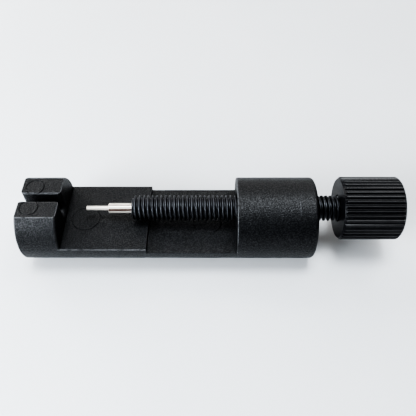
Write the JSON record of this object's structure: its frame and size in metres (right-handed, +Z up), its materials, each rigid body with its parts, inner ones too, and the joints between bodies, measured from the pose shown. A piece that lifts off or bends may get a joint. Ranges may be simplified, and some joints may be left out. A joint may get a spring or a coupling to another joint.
{
  "type": "chain tool",
  "caption": "Small screw-driven chain tool: an open cast frame with slotted anvil posts, a threaded spindle with a fluted knob, and a stepped pusher pin.",
  "frame": {"origin": "centre of the bounding box's footprint, on the surface that the frame's flat rests on", "axes": "+X along the spindle towards the knob, +Y away from the front, +Z up out of the open trough"},
  "size_m": [0.086, 0.019, 0.0195],
  "materials": {
    "frame_coating": "satin",
    "spindle_steel": "satin",
    "pin_steel": "gloss",
    "knob_metal": "gloss"
  },
  "bodies": {
    "frame": {"frame": "frame_coating"},
    "pusher": {"pusher_pin": "pin_steel"},
    "spindle": {"spindle": "spindle_steel", "knob": "knob_metal"}
  },
  "joints": [
    {"name": "spindle_travel", "type": "slide", "parent": "frame", "child": "pusher", "axis": [1, 0, 0], "range_m": [-0.00532, 0.03402]},
    {"name": "knob_turn", "type": "hinge", "parent": "pusher", "child": "spindle", "pos_m": [0, 0, 0.01224], "axis": [1, 0, 0], "range_deg": [-1908, 12240]}
  ],
  "couplings": [
    {"joint": "spindle_travel", "follows": "knob_turn", "m_per_rad": 0.00015915}
  ]
}
